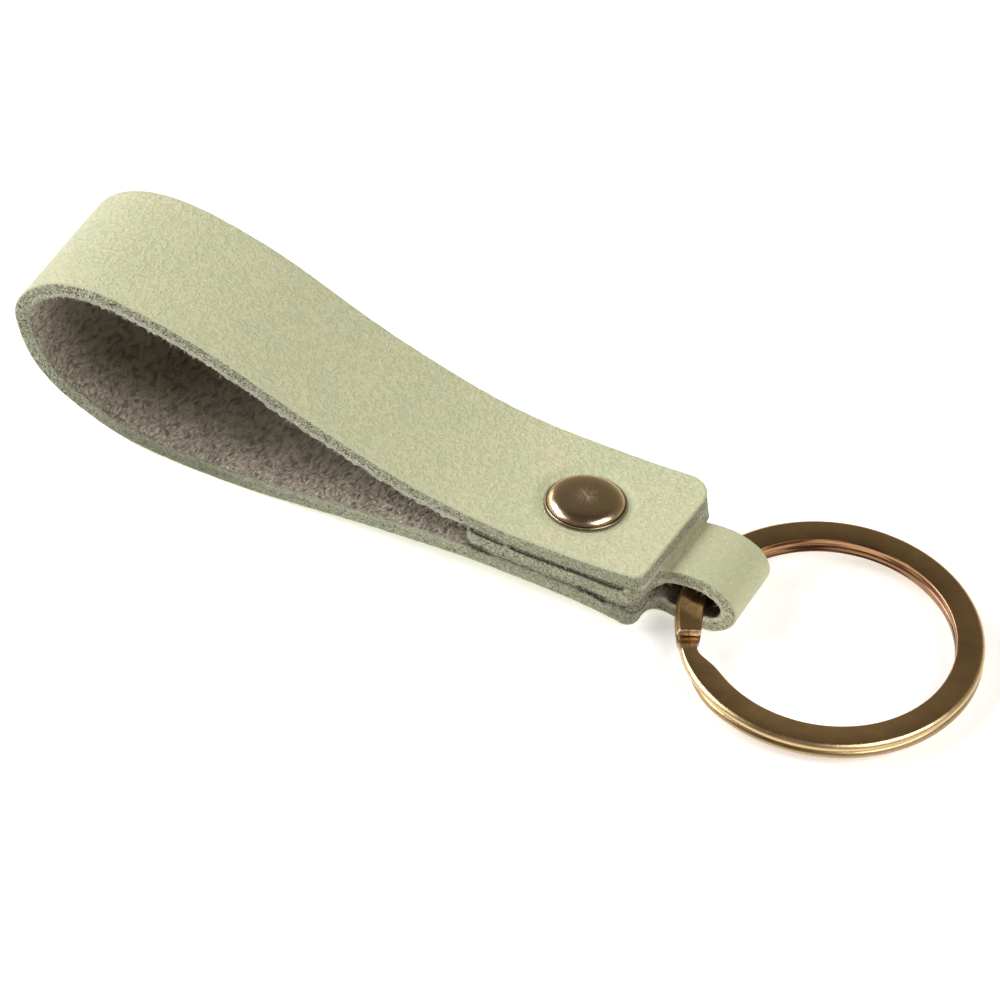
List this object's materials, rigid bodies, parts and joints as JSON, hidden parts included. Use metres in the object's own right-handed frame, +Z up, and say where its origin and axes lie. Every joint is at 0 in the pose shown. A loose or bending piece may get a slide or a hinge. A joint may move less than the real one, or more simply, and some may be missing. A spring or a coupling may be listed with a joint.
{
  "type": "strap keychain",
  "caption": "Folded faux leather strap keychain: a wide hand loop, a narrow ring tab, a double-cap rivet through the stack and a flat-wire split ring.",
  "frame": {"origin": "middle of the part's base: below the centre of its overall box, on the surface it lies on", "axes": "+X runs along the strap from the hand loop to the split ring, +Y across the strap, +Z up through the rivet"},
  "size_m": [0.1042, 0.031, 0.0192],
  "materials": {
    "strap_leather": "pebbled sage green faux leather with a grey-green cut edge and a brushed grey-brown back",
    "rivet_plating": "polished pale gold plating, lightly scuffed on the crown",
    "rivet_shank": "plain plated shank, hidden inside",
    "ring_wire": "polished rose gold plating on flat spring wire"
  },
  "bodies": {
    "strap_body": {"strap": "strap_leather", "front_cap": "rivet_plating", "front_eyelet": "rivet_shank", "rivet_post": "rivet_shank", "back_cap": "rivet_plating"},
    "ring_body": {"split_ring": "ring_wire"}
  },
  "joints": [
    {"name": "ring_turn", "type": "hinge", "parent": "strap_body", "child": "ring_body", "pos_m": [0.03656, 0.00001, 0.00245], "axis": [0.0511, -0.0209, 0.9985], "continuous": true}
  ]
}
